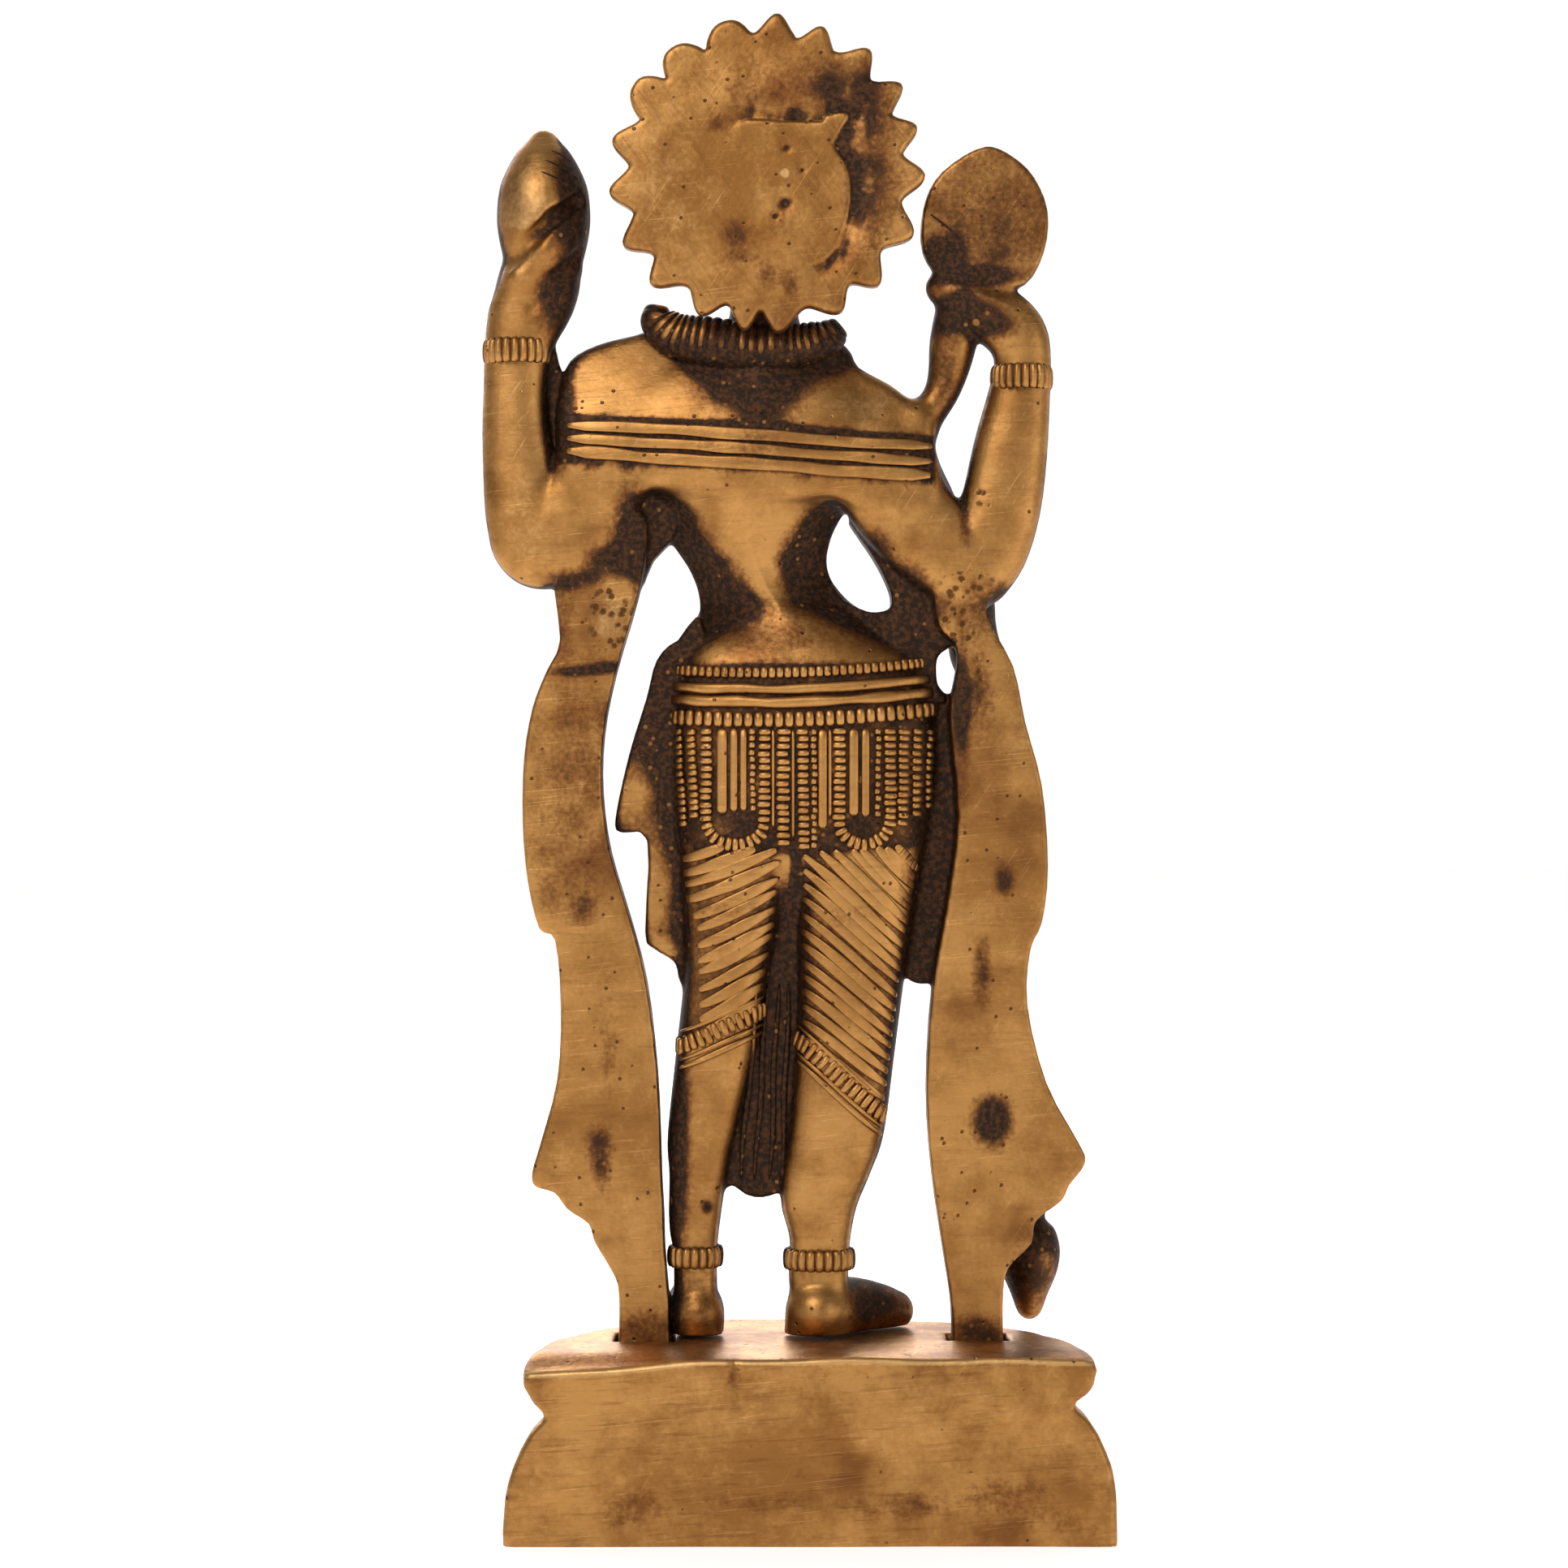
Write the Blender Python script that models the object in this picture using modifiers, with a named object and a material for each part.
"""Cast brass statue of a standing four-armed Vishnu on a lotus plinth.

Frame: metres, +Z up, the figure faces -Y, the origin is the centre of the plinth's underside.
The figure is modelled in steps of one 180th of its height, measured up from its soles, so its pose
and carving keep their proportions when FIGURE_HEIGHT changes.
"""
import math

import bmesh
import bpy
import numpy as np
from mathutils import Matrix, Vector

MM = 0.001

# Plinth
PLINTH_HEIGHT = 25.2 * MM
PLINTH_HALF_WIDTH = 40.7 * MM
PLINTH_DEPTH = 38.0 * MM
PLINTH_BACK = 19.0 * MM
WAIST_HALF_WIDTH = 35.2 * MM
LIP_HALF_WIDTH = 37.9 * MM
PETAL_DEPTH = 1.4 * MM
PETALS = 11

# Figure
FIGURE_HEIGHT = 180.0 * MM
STEP = FIGURE_HEIGHT / 180.0
JOINT_GAP = 0.3 * MM
SOLE_HEIGHT = PLINTH_HEIGHT + JOINT_GAP
SCARF_BACK = 4.0 * STEP
SCARF_THICKNESS = 5.5 * MM
TANG_WIDTH = 6.9 * MM
TANG_LENGTH = 6.0 * MM
SLOT_GAP = 0.6 * MM
SLOT_SPARE_DEPTH = 1.0 * MM
TANG_X = (22.5 * STEP, -23.0 * STEP)

# Halo
HALO_RADIUS = 21.6 * MM
HALO_ROOT_RADIUS = 19.0 * MM
HALO_THICKNESS = 3.5 * MM
HALO_BACK = 10.0 * STEP
HALO_X = 5.8 * STEP
HALO_Z = SOLE_HEIGHT + 157.7 * STEP
HALO_TEETH = 19
BOSS_X = 2.8 * STEP
BOSS_Z = SOLE_HEIGHT + 155.4 * STEP
BOSS_HALF_WIDTH = 7.4 * MM
BOSS_HALF_HEIGHT = 9.8 * MM
BOSS_SIDES = 22

LEVEL_ANGLE = math.radians(10)
LUMP_COLLECTION = "lumps"
BRASS = (0.62, 0.36, 0.11, 1.0)

# Body stations, from hip to neck: height, middle, half width, back and front, all in figure steps
TRUNK = [
    (56, 2.2, 11.0, 0.5, -6.5), (62, 1.8, 15.4, 3.6, -8.5), (67, 1.4, 17.0, 5.8, -9.2),
    (74, 0.9, 17.9, 6.8, -9.8),
    (82, 0.7, 17.9, 6.8, -10.0), (89, 1.0, 17.2, 6.0, -9.6), (93.5, 1.6, 15.8, 4.4, -9.0),
    (97, 2.6, 12.9, 2.6, -8.6), (100.5, 4.8, 10.5, 1.8, -8.4), (104.5, 6.8, 9.7, 2.2, -8.4),
    (109, 8.1, 11.3, 3.6, -8.8), (114, 8.0, 13.6, 5.0, -9.4), (120, 8.4, 17.5, 6.0, -9.8),
    (125.5, 8.4, 18.6, 5.8, -9.0), (130, 8.6, 15.6, 4.6, -7.2), (133.5, 8.0, 10.6, 3.0, -5.4),
    (136.5, 7.0, 6.0, 1.8, -4.4),
]
LEFT_LEG = [
    (0, 15.2, 3.3, 3.6, -3.0), (5.2, 15.4, 3.2, 3.4, -3.0), (10.7, 15.6, 3.2, 3.4, -3.0),
    (15.2, 15.7, 3.6, 3.8, -4.0), (21.8, 15.2, 4.0, 4.3, -5.2), (27.3, 14.7, 4.7, 4.6, -6.2),
    (38.4, 12.8, 5.5, 4.8, -7.4), (49.4, 11.3, 5.9, 5.2, -8.2), (60.5, 10.6, 7.0, 5.8, -8.8),
    (70, 9.6, 8.6, 6.6, -9.2),
]
RIGHT_LEG = [
    (0, -1.3, 4.3, 3.6, -3.4), (5.2, -1.4, 4.2, 3.4, -3.2), (8.5, -1.3, 4.2, 3.4, -3.2),
    (13.0, -1.5, 4.3, 3.6, -3.8), (17.4, -1.4, 5.3, 4.2, -4.8), (21.8, -2.3, 6.1, 4.6, -5.6),
    (27.3, -3.7, 6.5, 4.8, -6.4), (38.4, -4.9, 6.8, 5.0, -7.6), (49.4, -5.8, 7.4, 5.4, -8.4),
    (60.5, -6.6, 8.1, 6.0, -9.0), (70, -7.2, 9.2, 6.6, -9.4),
]
HEAD = [
    (139.5, 5.8, 2.4, 0.5, -5.6), (141.5, 5.8, 4.3, 2.0, -7.4), (144.5, 5.8, 5.8, 3.2, -8.4),
    (148.5, 5.8, 6.7, 4.0, -8.8), (152.5, 5.8, 7.0, 4.2, -8.8), (156, 5.8, 6.7, 4.0, -8.2),
    (159.5, 5.8, 5.4, 3.0, -6.6),
]

# Limbs: x, y, z and radius at each turn
LIMBS = {
    "yoke": [(33.4, 1.6, 123.0, 3.4), (28.0, 1.0, 122.6, 5.2), (8.0, 1.2, 121.6, 4.9),
             (-11.0, 1.0, 120.8, 5.2), (-16.6, 1.6, 120.0, 3.4)],
    "left upper arm": [(27.0, 1.0, 121.0, 6.0), (31.0, 1.2, 113.5, 5.8), (36.3, 1.0, 108.4, 6.2)],
    "left forearm": [(37.6, 1.0, 109.0, 5.6), (39.6, 1.0, 116.0, 4.8), (40.4, 1.0, 124.0, 4.1),
                     (40.2, 1.0, 133.0, 3.9)],
    "left hand": [(40.2, 1.0, 132.0, 3.9), (38.6, 0.6, 138.5, 4.9), (36.4, 0.4, 144.0, 5.4),
                  (35.6, 0.4, 148.0, 5.3)],
    "right upper arm": [(-11.0, 1.0, 119.0, 5.8), (-17.0, 1.0, 109.5, 5.6), (-22.0, 1.0, 106.0, 5.2)],
    "right forearm": [(-24.2, 1.0, 106.6, 5.0), (-26.4, 1.0, 114.0, 5.1), (-27.4, 1.0, 121.3, 4.9),
                      (-28.6, 1.0, 128.0, 4.0), (-29.2, 1.0, 134.0, 3.4)],
    "right hand": [(-29.2, 1.0, 133.0, 3.4), (-26.6, 1.0, 138.4, 3.8), (-22.6, 1.0, 141.3, 3.3),
                   (-18.4, 1.0, 143.2, 2.0)],
    "right strut": [(-20.2, 0.0, 141.0, 3.0), (-19.3, 0.0, 132.3, 2.5), (-17.9, 0.0, 128.0, 2.1),
                    (-15.4, 0.0, 123.0, 3.0)],
    "left foot": [(15.2, 1.2, 3.0, 3.3), (16.0, -6.0, 3.2, 3.4), (16.8, -13.0, 1.6, 2.6)],
    "right foot": [(-1.2, 1.0, 3.2, 4.0), (-6.2, -4.0, 3.0, 3.8), (-12.2, -8.4, 1.6, 2.8)],
    "neck": [(6.6, -0.6, 131.0, 5.0), (6.0, -1.2, 143.0, 4.5)],
    "front left arm": [(27.0, -1.0, 121.0, 5.0), (31.0, -5.0, 107.0, 4.2), (29.0, -12.0, 102.5, 3.2)],
    "front left hand": [(29.0, -12.0, 102.5, 3.0), (28.6, -13.6, 109.5, 3.3), (28.4, -14.0, 115.0, 2.0)],
    "front right arm": [(-12.0, -1.5, 119.0, 5.0), (-20.0, -6.0, 106.0, 4.2), (-24.6, -9.4, 88.0, 3.1),
                        (-26.6, -10.2, 78.0, 3.0)],
    "front right hand": [(-26.8, -10.2, 79.0, 3.3), (-27.4, -10.6, 72.5, 3.0)],
    "mace shaft": [(-27.2, -10.0, 73.0, 1.7), (-30.7, -9.4, 10.0, 1.9)],
}

# Flat plates of cloth: outlines in x and z
LEFT_SCARF_OUTER = [
    (34.4, 104), (34.0, 95), (35.8, 90.8), (37.7, 85.9), (38.9, 79), (39.1, 70), (38.4, 62),
    (36.8, 55.5), (34.7, 54.1), (33.9, 45), (34.4, 35), (36.7, 26.2), (37.8, 22.3), (37.4, 20.4),
    (34.7, 19.5), (33, 17.3), (30.1, 15.3), (29.3, 12.9), (27, 9),
]
LEFT_SCARF_INNER = [
    (19.7, 11.8), (20.2, 24), (20.7, 36), (22.2, 48.3), (24.5, 57.2), (27.1, 66), (28.2, 74),
    (28.0, 82), (26.4, 90.3), (23.5, 100.3), (22.5, 106),
]
RIGHT_SCARF_OUTER = [
    (-25, 103), (-24.1, 98.5), (-27.8, 91.5), (-29.5, 83.7), (-31.8, 74.9), (-32.6, 64), (-31.8, 56.5),
    (-30.2, 52.7), (-29.8, 45), (-32.4, 34.5), (-36.6, 26.7), (-37.7, 23.7), (-35.5, 20.6),
    (-34.4, 18.4), (-30.9, 15.7), (-30.3, 12.6), (-27.2, 9.4),
]
RIGHT_SCARF_INNER = [
    (-18.3, 11.5), (-16.7, 22.5), (-16, 33.9), (-16.8, 47.2), (-18.9, 59.4), (-20.3, 71), (-19.2, 84.5),
    (-20.2, 91.5), (-19.8, 94.6), (-17.6, 97), (-17.6, 103),
]
LEFT_SASH = [
    (14, 95), (18, 95), (20.9, 92.3), (22.3, 87.1), (24.7, 79.3), (26.6, 70.4), (25.8, 68.6),
    (22.2, 67.6), (22.5, 55), (21.4, 52.8), (18.4, 50.8), (17.4, 47.8), (13, 47.8),
]
RIGHT_SASH = [
    (-12, 88), (-18.8, 87.5), (-22, 84), (-22, 60), (-18.6, 52), (-17.3, 48.4), (-14.5, 48),
    (-12.5, 50.5), (-10, 60),
]
LEFT_WEB = [(38.5, 112), (40, 135), (35.5, 136), (33.8, 131.5), (30, 128), (26, 116)]
LEFT_ARMPIT = [(19.4, 113), (29, 109), (36, 104), (33, 102.4), (24, 102), (21.4, 106), (18.2, 110)]
RIGHT_WAIST = [
    (-5.6, 112), (-6.7, 109.6), (-9.7, 104.9), (-11.3, 101), (-10.8, 99.2), (-8.8, 98.9), (-6.4, 99.7),
    (-4.4, 101.2), (-2.2, 103), (-2.6, 98), (-6, 92), (-12, 86.5), (-18.6, 86.5), (-17.6, 89),
    (-17.6, 92.6), (-19.6, 94.3), (-21.5, 96), (-23, 101), (-18, 107), (-10, 113),
]
LEG_WEB = [(15, 24), (10.4, 20.2), (7.6, 18.6), (3.8, 19.4), (-2, 24), (-4, 68), (11, 68)]
DISC = [
    (-24.4, 162.4), (-20.6, 160.8), (-17.2, 157.8), (-15.5, 153.5), (-15.5, 148), (-18.5, 144),
    (-24, 142.4), (-29.5, 143.6), (-32.1, 148), (-32.6, 153.5), (-30.7, 158.2), (-27.8, 161),
]

# Turned work: radius and height, from the top down
CONCH = [(0, 165), (2.4, 163.3), (4.1, 161.2), (5.9, 157.4), (6.4, 153.6), (6.1, 150.5), (5.2, 146.5),
         (0, 145.5)]
MACE = [(0, 17.5), (2.4, 16.6), (2.2, 14.6), (3.6, 13.0), (4.3, 10.2), (3.9, 7.2), (2.6, 4.0),
        (1.5, 1.2), (0, 0.2)]
CROWN = [(0, 176), (1.2, 175), (1.7, 173), (1.3, 171.8), (2.8, 170.4), (4.0, 167), (3.7, 166.2),
         (5.0, 164.8), (5.9, 161), (5.6, 160.2), (6.8, 158.9), (7.7, 157.2), (7.6, 154.8), (0, 154.4)]


def figure_point(x, y, z):
    """A point of the figure, in metres, from its place in figure steps."""
    return Vector((x * STEP, y * STEP, SOLE_HEIGHT + z * STEP))


def new_collection(name):
    """Makes a collection in the scene."""
    collection = bpy.data.collections.new(name)
    bpy.context.scene.collection.children.link(collection)
    return collection


def place(name, mesh, collection):
    """Puts a mesh into the scene as an object of its own."""
    part = bpy.data.objects.new(name, mesh)
    collection.objects.link(part)
    return part


def closed_mesh(name, builder):
    """A mesh with its doubles merged and its faces turned outwards."""
    bmesh.ops.remove_doubles(builder, verts=builder.verts, dist=1e-6)
    bmesh.ops.recalc_face_normals(builder, faces=builder.faces)
    mesh = bpy.data.meshes.new(name)
    builder.to_mesh(mesh)
    builder.free()
    return mesh


def curve_to_mesh(name, curve, collection):
    """Turns a curve into a closed mesh object and drops the curve."""
    guide = place(name + " guide", curve, collection)
    evaluated = guide.evaluated_get(bpy.context.evaluated_depsgraph_get())
    raw = bpy.data.meshes.new_from_object(evaluated)
    builder = bmesh.new()
    builder.from_mesh(raw)
    part = place(name, closed_mesh(name, builder), collection)
    part.matrix_world = guide.matrix_world.copy()
    bpy.data.objects.remove(guide)
    bpy.data.curves.remove(curve)
    bpy.data.meshes.remove(raw)
    return part


def tube(name, points, radii, collection, roundness=2, closed=False):
    """A round bar through points in figure steps, with a radius at each."""
    curve = bpy.data.curves.new(name, "CURVE")
    curve.dimensions = "3D"
    curve.bevel_depth = STEP
    curve.bevel_resolution = roundness
    curve.use_fill_caps = True
    spline = curve.splines.new("POLY")
    spline.points.add(len(points) - 1)
    for knot, point, radius in zip(spline.points, points, radii):
        knot.co = (*figure_point(*point), 1.0)
        knot.radius = radius
    spline.use_cyclic_u = closed
    return curve_to_mesh(name, curve, collection)


def plate(name, outline, back, thickness, collection):
    """A flat plate that stands in the XZ plane: outline in metres, back face at y = back."""
    curve = bpy.data.curves.new(name, "CURVE")
    curve.dimensions = "2D"
    curve.fill_mode = "BOTH"
    curve.extrude = thickness / 2
    spline = curve.splines.new("POLY")
    spline.points.add(len(outline) - 1)
    for knot, (x, z) in zip(spline.points, outline):
        knot.co = (x, z, 0.0, 1.0)
    spline.use_cyclic_u = True
    part = curve_to_mesh(name, curve, collection)
    upright = Matrix.Translation((0, back - thickness / 2, 0)) @ Matrix.Rotation(math.pi / 2, 4, "X")
    part.data.transform(upright)
    return part


def steps_outline(outline):
    """An outline in figure steps, as metres in the XZ plane."""
    return [(x * STEP, SOLE_HEIGHT + z * STEP) for x, z in outline]


def turned(name, profile, x, y, segments, collection):
    """A turned piece: a profile of radius and height swept round its upright axis at (x, y)."""
    builder = bmesh.new()
    ring_points = [builder.verts.new((r * STEP, 0, z * STEP)) for r, z in profile]
    for upper, lower in zip(ring_points, ring_points[1:]):
        builder.edges.new((upper, lower))
    mesh = bpy.data.meshes.new(name)
    builder.to_mesh(mesh)
    builder.free()
    part = place(name, mesh, collection)
    screw = part.modifiers.new("turn", "SCREW")
    screw.steps = segments
    screw.render_steps = segments
    screw.use_merge_vertices = True
    screw.merge_threshold = 0.00001
    evaluated = part.evaluated_get(bpy.context.evaluated_depsgraph_get())
    solid = bmesh.new()
    solid.from_mesh(bpy.data.meshes.new_from_object(evaluated))
    part.modifiers.clear()
    part.data = closed_mesh(name, solid)
    part.data.transform(Matrix.Translation((x * STEP, y * STEP, SOLE_HEIGHT)))
    return part


class Trunk:
    """A body form through level oval sections that are flatter at the back than in front."""

    def __init__(self, stations, flatness=2.8):
        self.rows = np.array(stations, dtype=float)
        self.power = flatness

    def section(self, z):
        """Middle, half width, back and front of the section at a height."""
        return [float(np.interp(z, self.rows[:, 0], self.rows[:, k])) for k in range(1, 5)]

    def rim(self, z, angle):
        """The point of the section's rim at an angle, where a quarter turn is the back."""
        middle, half, back, front = self.section(z)
        axis = (back + front) / 2
        across, deep = math.cos(angle), math.sin(angle)
        power = 2 / self.power if deep > 0 else 1.0
        x = middle + half * math.copysign(abs(across) ** power, across)
        y = axis + (back - axis) * math.copysign(abs(deep) ** power, deep)
        return x, y

    def back(self, x, z):
        """How far back the form reaches at a place seen from behind."""
        middle, half, back, front = self.section(z)
        axis = (back + front) / 2
        share = min(abs(x - middle) / half, 0.98)
        return axis + (back - axis) * (1 - share ** self.power) ** (1 / self.power)

    def build(self, name, sides, collection):
        """The loft through all sections, capped at both ends."""
        builder = bmesh.new()
        rings = []
        for z in self.rows[:, 0]:
            turns = [2 * math.pi * k / sides for k in range(sides)]
            rings.append([builder.verts.new(figure_point(*self.rim(z, turn), z)) for turn in turns])
        for low, high in zip(rings, rings[1:]):
            for k in range(sides):
                n = (k + 1) % sides
                builder.faces.new((low[k], low[n], high[n], high[k]))
        builder.faces.new(rings[0][::-1])
        builder.faces.new(rings[-1])
        return place(name, closed_mesh(name, builder), collection)


def beaded(path, pitch, radius, neck):
    """Points and radii of a bead string along a path: thick at each bead, thin between."""
    path = np.array(path, dtype=float)
    run = np.concatenate([[0.0], np.cumsum(np.linalg.norm(np.diff(path, axis=0), axis=1))])
    beads = max(2, round(run[-1] / pitch))
    marks = np.linspace(0, run[-1], 2 * beads + 1)
    points = np.column_stack([np.interp(marks, run, path[:, k]) for k in range(3)])
    radii = [radius if k % 2 else neck for k in range(2 * beads + 1)]
    return points.tolist(), radii


def on_back(form, x, z, proud):
    """A point on the back of a form, standing proud of it, in figure steps."""
    return (x, form.back(x, z) + proud, z)


def make_body(lumps):
    """Trunk, legs, head, crown, limbs and what the hands hold."""
    forms = {"trunk": Trunk(TRUNK), "left leg": Trunk(LEFT_LEG), "right leg": Trunk(RIGHT_LEG)}
    forms["trunk"].build("trunk", 24, lumps)
    forms["left leg"].build("left leg", 14, lumps)
    forms["right leg"].build("right leg", 14, lumps)
    Trunk(HEAD, 2.2).build("head", 14, lumps)
    for name, knots in LIMBS.items():
        tube(name, [knot[:3] for knot in knots], [knot[3] for knot in knots], lumps)
    turned("crown", CROWN, 5.8, -1.6, 12, lumps)
    turned("conch", CONCH, 36.4, 0.6, 12, lumps)
    turned("mace head", MACE, -30.9, -9.4, 12, lumps)
    turned("lotus bud", [(0, 121), (1.6, 119.4), (3.4, 116.4), (2.6, 114), (1, 112.4), (0, 112.2)],
           28.4, -15.2, 8, lumps)
    return forms


def make_elbows(lumps):
    """Round elbows where the raised forearms turn up."""
    for name, middle, radius in (("left elbow", (36.7, 1.0, 108.6), 6.3),
                                 ("right elbow", (-23.0, 1.0, 105.6), 5.9)):
        builder = bmesh.new()
        bmesh.ops.create_uvsphere(builder, u_segments=12, v_segments=8, radius=radius * STEP)
        mesh = bpy.data.meshes.new(name)
        builder.to_mesh(mesh)
        builder.free()
        mesh.transform(Matrix.Translation(figure_point(*middle)))
        place(name, mesh, lumps)


def make_plates(lumps):
    """Side sashes, the disc and the webs of metal that tie the limbs together."""
    plate("left sash", steps_outline(LEFT_SASH), 1.4 * STEP, 5.0 * STEP, lumps)
    plate("right sash", steps_outline(RIGHT_SASH), 0.6 * STEP, 4.4 * STEP, lumps)
    plate("left web", steps_outline(LEFT_WEB), 0.4 * STEP, 3.6 * STEP, lumps)
    plate("left armpit", steps_outline(LEFT_ARMPIT), 1.8 * STEP, 5.2 * STEP, lumps)
    plate("right waist", steps_outline(RIGHT_WAIST), 0.9 * STEP, 4.8 * STEP, lumps)
    plate("leg web", steps_outline(LEG_WEB), 1.2 * STEP, 6.0 * STEP, lumps)
    plate("disc", steps_outline(DISC), 3.4 * STEP, 3.0 * STEP, lumps)


def make_neck_roll(lumps):
    """The ribbed roll of hair across the nape, with the round lock at its left end."""
    arc = [(20.2, -0.4, 138.8), (17.6, 1.6, 136.6), (12.0, 3.2, 134.9), (5.5, 3.6, 134.6),
           (-1.0, 2.6, 135.6), (-4.6, -0.4, 137.2)]
    points, radii = beaded(arc, 2.6, 3.3, 2.7)
    tube("neck roll", points, radii, lumps, roundness=1)
    tube("roll lock", [(18.4, 0.6, 137.0), (17.6, 0.8, 141.6)], [3.4, 2.4], lumps)
    tube("nape", [(16, 1.0, 133.0), (6.5, 2.4, 131.2), (-2, 1.0, 133.4)], [2.6, 3.2, 2.6], lumps)


def make_bands(lumps):
    """Three flat bands across the shoulders, lower at the figure's right."""
    for left, right in ((125.0, 122.8), (123.1, 120.6), (121.2, 118.3)):
        xs = (33.0, 24.0, 8.0, -6.0, -16.4)
        points = [(x, 5.15, float(np.interp(x, (xs[-1], xs[0]), (right, left)))) for x in xs]
        tube("shoulder band", points, [0.95] * len(xs), lumps, roundness=1)


def hip_ring(trunk, z, sag, proud, count):
    """Points round the hips at a height, higher at the sides than at the back."""
    points = []
    for k in range(count):
        turn = 2 * math.pi * k / count
        x, y = trunk.rim(z, turn)
        middle, half, back, front = trunk.section(z)
        grow = 1 + proud / half
        x = middle + (x - middle) * grow
        y = (back + front) / 2 + (y - (back + front) / 2) * (1 + 2 * proud / (back - front))
        points.append((x, y, z + sag * ((x - middle) / half) ** 2))
    return points


def make_belt(trunk, lumps):
    """Two cords between two bead rows, as four raised bands round the hips."""
    for z, radius in ((90.6, 0.95), (88.6, 0.8), (86.8, 0.8), (84.5, 1.15)):
        ring = hip_ring(trunk, z, 0.9, 0.2, 20)
        tube("belt band", ring, [radius] * len(ring), lumps, roundness=0, closed=True)


def string_path(trunk, knots, proud=0.25):
    """A path down the back of the hips through places seen from behind."""
    return [on_back(trunk, x, z, proud) for x, z in knots]


def make_strings(trunk, lumps):
    """Bead strings, plain bars and two bead loops that hang from the belt."""
    top = 83.0
    strings = [(16.2, 69.5), (4.0, 66.8), (0.9, 66.2), (-1.8, 67.5), (-14.6, 70.0)]
    for x, low in strings:
        points, radii = beaded(string_path(trunk, [(x, top), (x, low)]), 5.2, 1.15, 0.9)
        tube("bead string", points, radii, lumps, roundness=0)
    for middle in (9.7, -8.0):
        turn = [(middle + 3.5 * math.cos(a), 69.6 - 3.5 * math.sin(a)) for a in np.linspace(0, math.pi, 7)]
        path = string_path(trunk, [(middle + 3.6, top)] + turn + [(middle - 3.6, top)], 0.6)
        points, radii = beaded(path, 4.2, 1.1, 0.9)
        tube("bead loop", points, radii, lumps, roundness=0)
        for offset in (1.3, -0.9):
            path = string_path(trunk, [(middle + offset, top), (middle + offset, 70.5)], 0.1)
            tube("plain bar", path, [0.8, 0.8], lumps, roundness=0)


def make_folds(forms, lumps):
    """Slanting folds of the dhoti on both thighs, and its two beaded hems."""
    for k in range(9):
        drop = 2.6 * k
        ends = ((16.4, 61.8 - drop), (5.2 + 0.06 * drop, 66.6 - drop))
        add_fold(forms["left leg"], ends, lumps)
    for k in range(9):
        drop = 2.8 * k
        ends = ((-13.2 + 0.08 * drop, 55.6 - drop), (0.2 + 0.05 * drop, 66.4 - drop))
        add_fold(forms["right leg"], ends, lumps)
    for form, ends in ((forms["left leg"], ((17.0, 39.4), (6.6, 44.2))),
                       (forms["right leg"], ((-10.6, 29.6), (0.6, 40.4)))):
        path = [on_back(form, *place_along(ends, share), 0.0) for share in np.linspace(0, 1, 6)]
        points, radii = beaded(path, 4.0, 1.6, 1.2)
        tube("hem beads", points, radii, lumps, roundness=0)


def place_along(ends, share):
    """The place a share of the way between two places."""
    (x0, z0), (x1, z1) = ends
    return x0 + (x1 - x0) * share, z0 + (z1 - z0) * share


def add_fold(form, ends, lumps):
    """One raised fold along a form, thick in the middle and thin at its ends."""
    path = [on_back(form, *place_along(ends, share), 0.15) for share in (0.04, 0.34, 0.66, 0.96)]
    tube("fold", path, [0.6, 0.95, 0.95, 0.6], lumps, roundness=0)


def ribbed_ring(name, middle, half_width, half_depth, radius, ribs, lumps):
    """A ribbed bangle or anklet round an upright limb."""
    x, y, z = middle
    points = []
    for k in range(2 * ribs):
        turn = math.pi * k / ribs
        points.append((x + half_width * math.cos(turn), y + half_depth * math.sin(turn), z))
    radii = [radius if k % 2 else 0.72 * radius for k in range(2 * ribs)]
    tube(name, points, radii, lumps, roundness=1, closed=True)


def make_bangles(lumps):
    """Bracelets on the raised wrists and anklets above the feet."""
    ribbed_ring("left bracelet", (40.0, 1.0, 134.6), 3.1, 2.9, 1.8, 7, lumps)
    ribbed_ring("right bracelet", (-29.2, 1.0, 130.6), 2.9, 2.7, 1.7, 7, lumps)
    ribbed_ring("left anklet", (15.6, 0.2, 10.6), 2.5, 2.5, 1.6, 7, lumps)
    ribbed_ring("right anklet", (-1.3, 0.0, 10.2), 3.6, 3.2, 1.6, 8, lumps)


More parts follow.
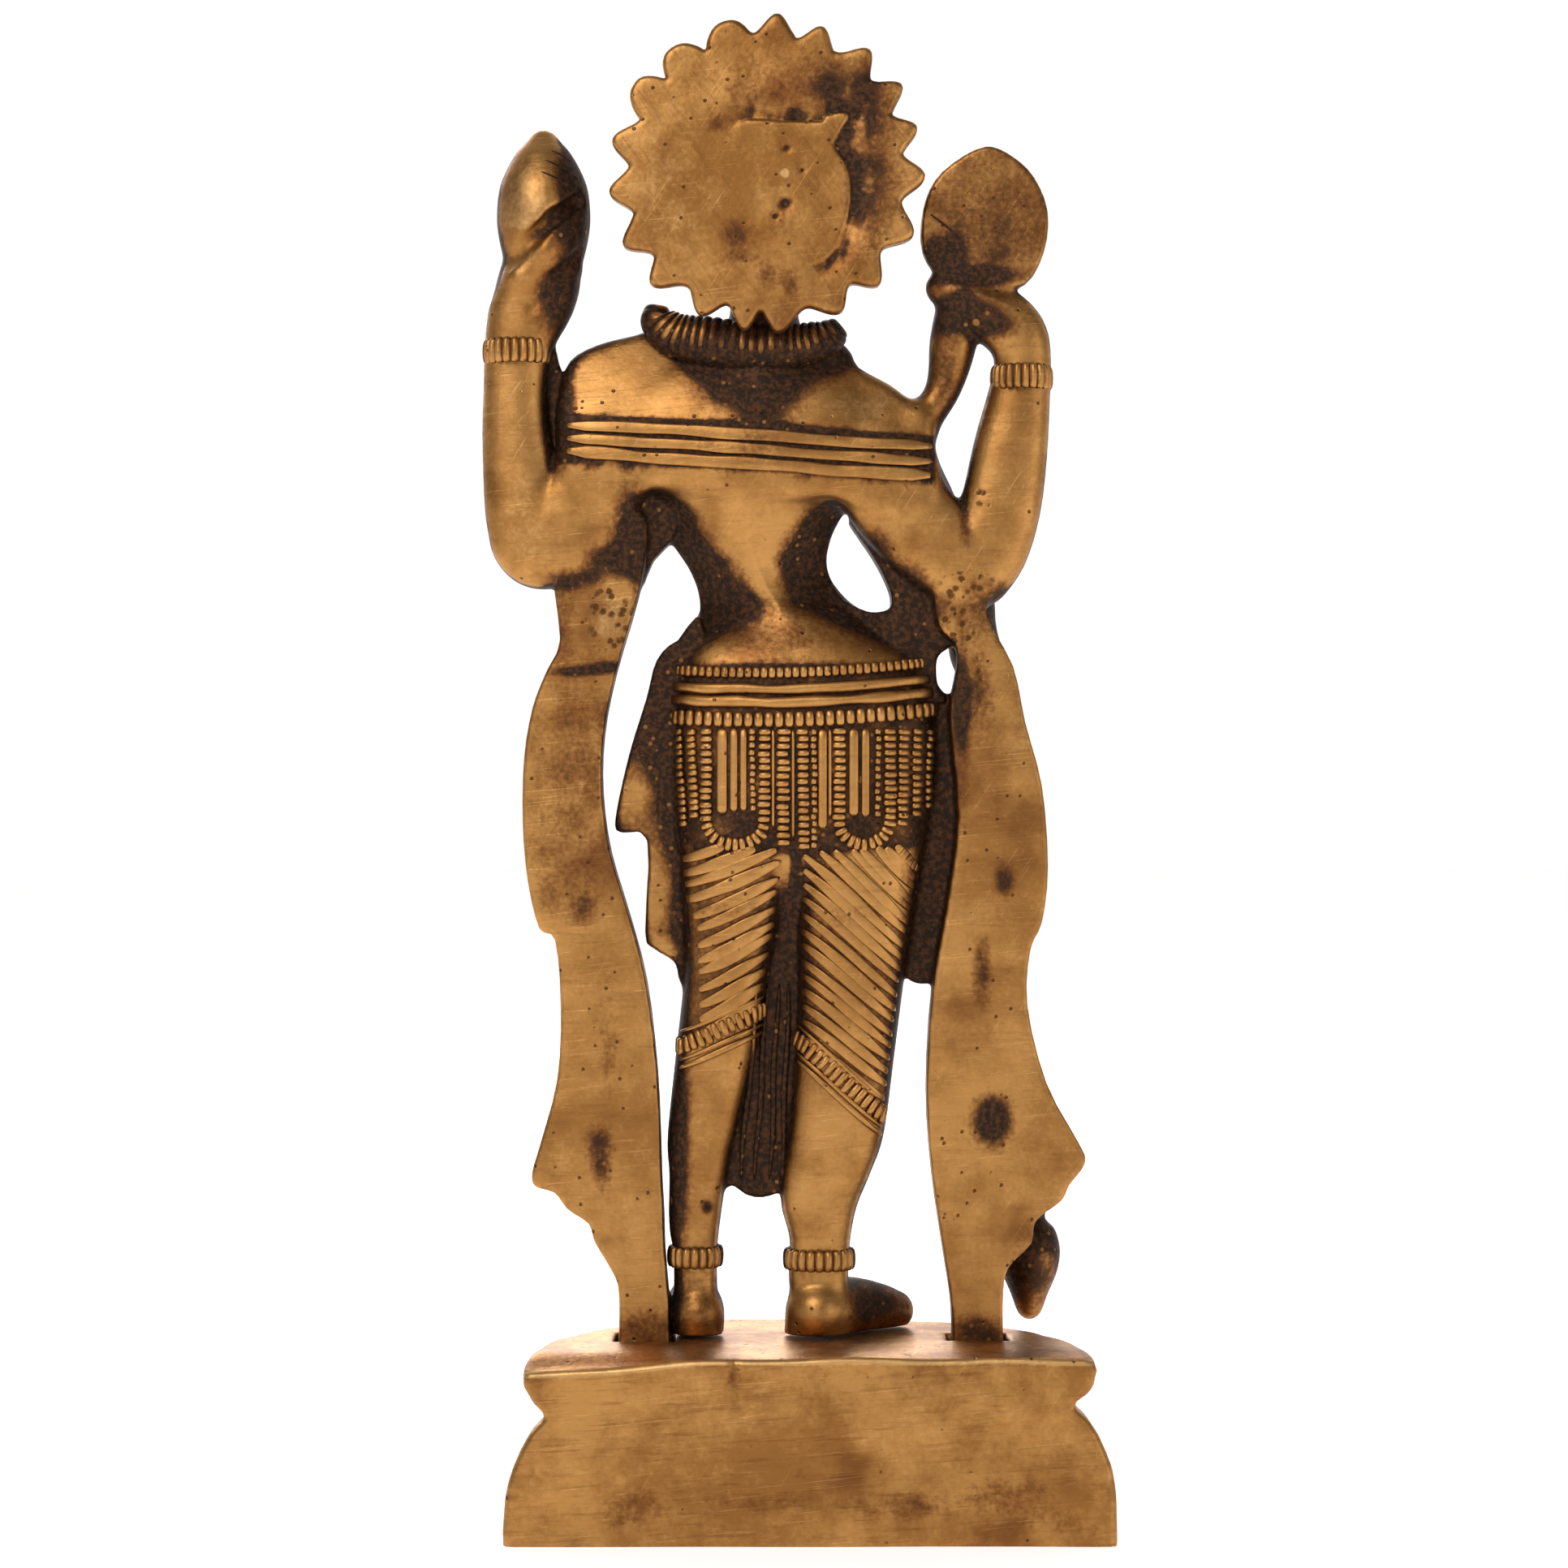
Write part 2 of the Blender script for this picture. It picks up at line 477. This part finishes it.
def make_front(trunk, lumps):
    """The plainer front: face, ear drops, necklaces, sacred thread, belt clasp and sash ends."""
    for side in (-1, 1):
        tube("ear drop", [(5.8 + side * 7.2, -1.4, 149.0), (5.8 + side * 8.4, -1.8, 144.6)],
             [1.5, 2.3], lumps, roundness=1)
        tube("brow", [(5.8 + side * 1.2, -8.6, 152.6), (5.8 + side * 3.4, -8.2, 153.4),
                      (5.8 + side * 5.2, -6.6, 152.4)], [0.5, 0.7, 0.4], lumps, roundness=0)
        tube("eye", [(5.8 + side * 1.5, -8.5, 150.4), (5.8 + side * 2.9, -8.3, 150.6),
                     (5.8 + side * 4.3, -7.4, 150.2)], [0.4, 0.95, 0.4], lumps, roundness=1)
    tube("nose", [(5.8, -8.2, 152.0), (5.8, -9.4, 148.4), (5.8, -9.0, 147.4)], [0.7, 1.25, 1.0],
         lumps, roundness=1)
    tube("lips", [(3.8, -7.6, 145.3), (5.8, -8.5, 145.1), (7.8, -7.6, 145.3)], [0.4, 0.9, 0.4],
         lumps, roundness=0)
    for drop, radius in ((4.0, 1.2), (9.5, 1.4)):
        arc = [(7.4 + 9.5 * math.cos(a), -6.8 - 2.6 * math.sin(a), 131.0 - drop * math.sin(a))
               for a in np.linspace(0.05, math.pi - 0.05, 8)]
        tube("necklace", arc, [radius] * len(arc), lumps, roundness=0)
    tube("sacred thread", [(18.0, -8.2, 127.0), (13.0, -9.8, 117.0), (6.0, -9.2, 107.0),
                           (-2.0, -8.6, 100.0)], [0.9] * 4, lumps, roundness=1)
    plate("middle sash", steps_outline([(-2.6, 88), (-4.4, 34), (0.6, 28), (5.6, 34), (4.4, 88)]),
          -7.6 * STEP, 5.0 * STEP, lumps)
    for z in (36, 47, 58):
        arc = [(1.0 + 13.0 * math.cos(a), -6.4 - 4.0 * math.sin(a), z + 10 - 9 * math.sin(a))
               for a in np.linspace(0.1, math.pi - 0.1, 7)]
        tube("front fold", arc, [1.1] * len(arc), lumps, roundness=0)
    tube("belt clasp", [(1.0, -8.5, 87.5), (1.0, -11.6, 87.5)], [3.6, 2.2], lumps)


def scarf(name, outer, inner, tang_x, collection):
    """A scarf slab that falls from an elbow and ends in the tang that stands in the plinth."""
    foot = SOLE_HEIGHT - JOINT_GAP - TANG_LENGTH
    edge = math.copysign(TANG_WIDTH / 2, tang_x)
    tang = [(tang_x + edge, SOLE_HEIGHT + 6 * STEP), (tang_x + edge, foot),
            (tang_x - edge, foot), (tang_x - edge, SOLE_HEIGHT + 6 * STEP)]
    outline = steps_outline(outer) + tang + steps_outline(inner)
    return plate(name, outline, SCARF_BACK, SCARF_THICKNESS, collection)


def combine(part, name, operation, collection):
    """Adds a Boolean of every object in a collection."""
    cut = part.modifiers.new(name, "BOOLEAN")
    cut.operation = operation
    cut.operand_type = "COLLECTION"
    cut.collection = collection
    cut.solver = "EXACT"


def hide(collection):
    """Marks a collection's objects as helpers that are no pieces of the statue."""
    for helper in collection.objects:
        helper.hide_render = True
        helper.display_type = "WIRE"


def brass(name, colour, roughness):
    """A brass finish."""
    material = bpy.data.materials.new(name)
    material.use_nodes = True
    shader = material.node_tree.nodes["Principled BSDF"]
    shader.inputs["Base Color"].default_value = colour
    shader.inputs["Metallic"].default_value = 1.0
    shader.inputs["Roughness"].default_value = roughness
    return material


def make_figure(parts):
    """The figure: all its lumps united, cut flat at the soles, then joined to its scarves."""
    lumps = new_collection(LUMP_COLLECTION)
    slabs = new_collection("scarves")
    soles = new_collection("soles")
    forms = make_body(lumps)
    make_elbows(lumps)
    make_plates(lumps)
    make_neck_roll(lumps)
    make_bands(lumps)
    make_belt(forms["trunk"], lumps)
    make_strings(forms["trunk"], lumps)
    make_folds(forms, lumps)
    make_bangles(lumps)
    make_front(forms["trunk"], lumps)
    boss = oval_boss("halo boss", BOSS_HALF_WIDTH - JOINT_GAP, BOSS_HALF_HEIGHT - JOINT_GAP, lumps)
    boss.data.transform(Matrix.Translation((0, HALO_BACK - boss_length() / 2, 0)))
    scarf("left scarf", LEFT_SCARF_OUTER, LEFT_SCARF_INNER, TANG_X[0], slabs)
    scarf("right scarf", RIGHT_SCARF_OUTER, RIGHT_SCARF_INNER, TANG_X[1], slabs)
    bpy.ops.mesh.primitive_cube_add(size=1)
    floor = bpy.context.object
    floor.name = "sole cut"
    depth = 20 * STEP
    size = Matrix.Diagonal((PLINTH_HALF_WIDTH * 3, PLINTH_DEPTH * 3, depth, 1))
    floor.data.transform(Matrix.Translation((0, 0, SOLE_HEIGHT - depth / 2)) @ size)
    move_to(floor, soles)
    figure = place("figure", lumps.objects["trunk"].data.copy(), parts)
    bpy.data.objects.remove(lumps.objects["trunk"])
    combine(figure, "unite lumps", "UNION", lumps)
    combine(figure, "flat soles", "DIFFERENCE", soles)
    combine(figure, "add scarves", "UNION", slabs)
    merge = figure.modifiers.new("merge level faces", "DECIMATE")
    merge.decimate_type = "DISSOLVE"
    merge.angle_limit = LEVEL_ANGLE
    figure.data.materials.append(brass("figure brass", BRASS, 0.42))
    for helper in (lumps, slabs, soles):
        hide(helper)
    return figure


def move_to(part, collection):
    """Moves an object into one collection only."""
    for owner in list(part.users_collection):
        owner.objects.unlink(part)
    collection.objects.link(part)


def boss_length():
    """How far the boss reaches forward from the halo's back, into the middle of the head."""
    return HALO_BACK - 1.0 * STEP


def oval_boss(name, half_width, half_height, collection):
    """An upright oval bar along Y, round the boss's middle, centred on y = 0."""
    builder = bmesh.new()
    bmesh.ops.create_cone(builder, cap_ends=True, segments=BOSS_SIDES, radius1=1, radius2=1,
                          depth=boss_length())
    mesh = bpy.data.meshes.new(name)
    builder.to_mesh(mesh)
    builder.free()
    shape = Matrix.Diagonal((half_width, half_height, 1, 1))
    turn = Matrix.Rotation(math.pi / 2, 4, "X")
    mesh.transform(Matrix.Translation((BOSS_X, 0, BOSS_Z)) @ turn @ shape)
    return place(name, mesh, collection)


def make_halo(parts):
    """The toothed halo, with an oval hole round the figure's boss."""
    outline = []
    pitch = 2 * math.pi / HALO_TEETH
    for k in range(HALO_TEETH):
        for share, reach in ((0.0, 1.0), (0.16, 0.86), (0.5, 0.0), (0.78, 0.5)):
            angle = pitch * (k + share)
            radius = HALO_ROOT_RADIUS + (HALO_RADIUS - HALO_ROOT_RADIUS) * reach
            outline.append((HALO_X + radius * math.sin(angle), HALO_Z + radius * math.cos(angle)))
    halo = plate("halo", outline, HALO_BACK, HALO_THICKNESS, parts)
    holes = new_collection("halo holes")
    hole = oval_boss("halo hole", BOSS_HALF_WIDTH, BOSS_HALF_HEIGHT, holes)
    hole.data.transform(Matrix.Translation((0, HALO_BACK - HALO_THICKNESS / 2, 0)))
    combine(halo, "oval hole", "DIFFERENCE", holes)
    hide(holes)
    halo.data.materials.append(brass("halo brass", BRASS, 0.36))
    return halo


def plinth_levels():
    """Heights of the plinth's sections, each with its half width and how far its petals stand out."""
    height = PLINTH_HEIGHT
    notch = 0.70 * height
    rim = 0.86 * height
    levels = [(0.0, PLINTH_HALF_WIDTH, 0.0), (0.06 * height, PLINTH_HALF_WIDTH, 0.0),
              (0.10 * height, PLINTH_HALF_WIDTH, 0.6)]
    for share in (0.3, 0.62, 0.9):
        z = 0.10 * height + (notch - 0.10 * height) * share
        curve = math.sin(0.5 * math.pi * share) ** 1.6
        half = PLINTH_HALF_WIDTH + (WAIST_HALF_WIDTH - PLINTH_HALF_WIDTH) * curve
        levels.append((z, half, 1.0 - 0.6 * share))
    levels += [(notch, WAIST_HALF_WIDTH, 0.0),
               (rim, LIP_HALF_WIDTH, 0.35), (0.92 * height, LIP_HALF_WIDTH, 0.35),
               (0.98 * height, LIP_HALF_WIDTH - 0.6 * MM, 0.0), (height, LIP_HALF_WIDTH - 1.4 * MM, 0.0)]
    return levels


def make_plinth(parts):
    """A flared half-round base with a flat back, petals round its front and slots for the tangs."""
    builder = bmesh.new()
    rings = []
    turns = np.linspace(0, math.pi, 4 * PETALS + 1)
    for z, half, petal in plinth_levels():
        front = PLINTH_DEPTH * half / PLINTH_HALF_WIDTH
        ring = []
        for turn in turns:
            swell = 1 - petal * PETAL_DEPTH / half * (1 - abs(math.sin(PETALS * turn)) ** 0.7)
            x = half * math.copysign(abs(math.cos(turn)) ** 0.8, math.cos(turn)) * swell
            y = PLINTH_BACK - front * math.sin(turn) ** 0.8 * swell
            ring.append(builder.verts.new((x, min(y, PLINTH_BACK), z)))
        rings.append(ring)
    for low, high in zip(rings, rings[1:]):
        for k in range(len(low)):
            n = (k + 1) % len(low)
            builder.faces.new((low[k], high[k], high[n], low[n]))
    builder.faces.new(rings[0])
    builder.faces.new(rings[-1][::-1])
    plinth = place("plinth", closed_mesh("plinth", builder), parts)
    slots = new_collection("slots")
    for tang_x in TANG_X:
        bpy.ops.mesh.primitive_cube_add(size=1)
        slot = bpy.context.object
        slot.name = "slot"
        depth = TANG_LENGTH + SLOT_SPARE_DEPTH
        size = Matrix.Diagonal((TANG_WIDTH + 2 * SLOT_GAP, SCARF_THICKNESS + 2 * SLOT_GAP, 2 * depth, 1))
        place_at = Matrix.Translation((tang_x, SCARF_BACK - SCARF_THICKNESS / 2, PLINTH_HEIGHT))
        slot.data.transform(place_at @ size)
        move_to(slot, slots)
    combine(plinth, "tang slots", "DIFFERENCE", slots)
    hide(slots)
    plinth.data.materials.append(brass("plinth brass", BRASS, 0.45))
    return plinth


def main():
    """Clears the scene and builds the statue's three pieces."""
    for old in list(bpy.data.objects):
        bpy.data.objects.remove(old)
    parts = new_collection("vishnu statue")
    make_plinth(parts)
    make_halo(parts)
    make_figure(parts)


main()
